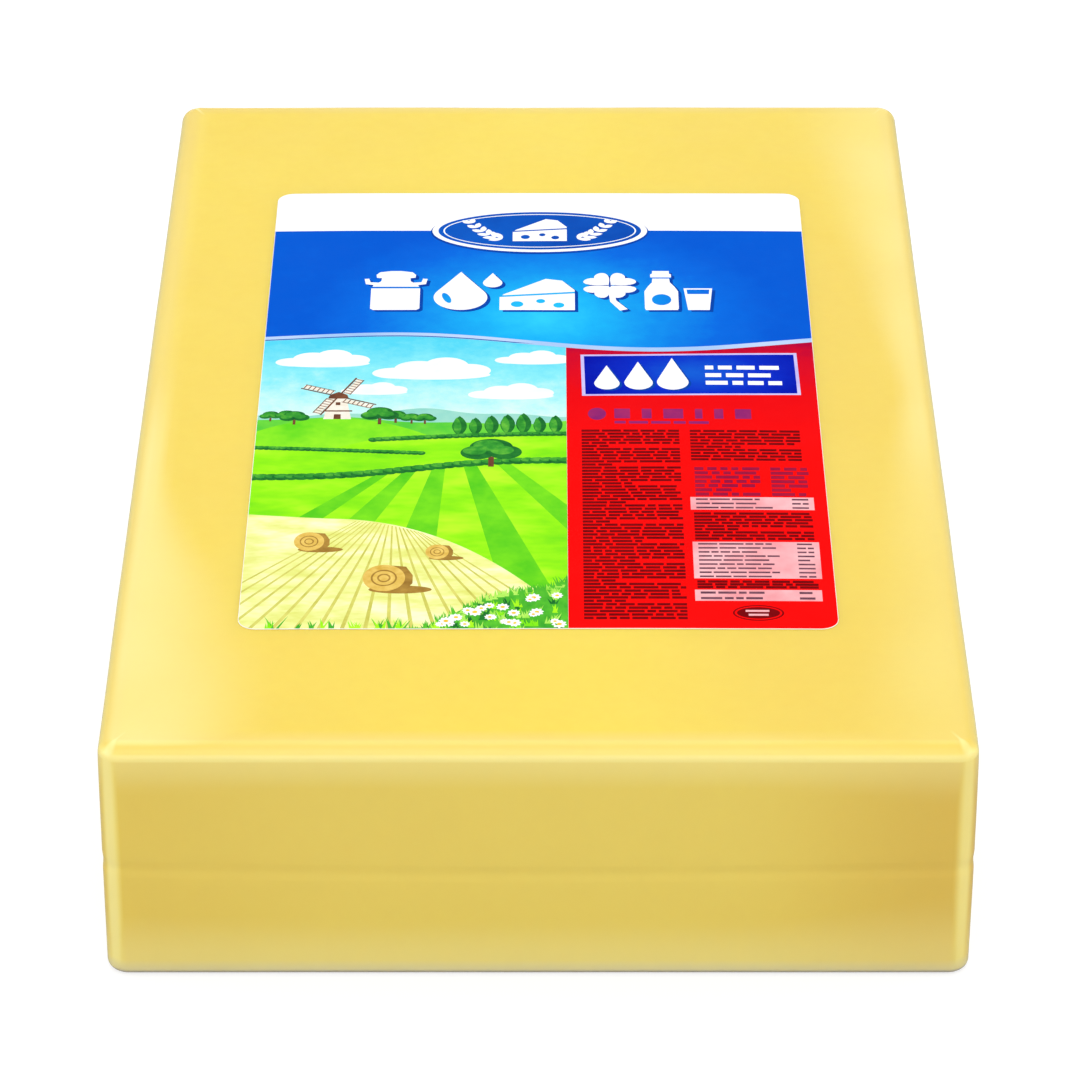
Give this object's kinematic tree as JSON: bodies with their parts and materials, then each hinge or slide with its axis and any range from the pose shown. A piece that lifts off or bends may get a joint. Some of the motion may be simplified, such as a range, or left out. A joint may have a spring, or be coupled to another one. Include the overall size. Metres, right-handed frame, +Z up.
{
  "type": "edam cheese block",
  "caption": "Whole rectangular block of Edam cheese in tight clear film, with round edges, a mould line round its sides and a printed label on its slightly crowned top.",
  "frame": {"origin": "middle of the block's underside, on the surface that it stands on", "axes": "+Z up, +Y along the block's length, from the pictured front to its back, +X to the right across its width"},
  "size_m": [0.3, 0.5, 0.0956],
  "materials": {
    "cheese": "smooth pale yellow paste under tight clear film, satin gloss",
    "label_print": "coated paper with printed fields of blue, white, green and red"
  },
  "bodies": {
    "root": {"cheese_block": "cheese", "label": "label_print"}
  },
  "joints": []
}
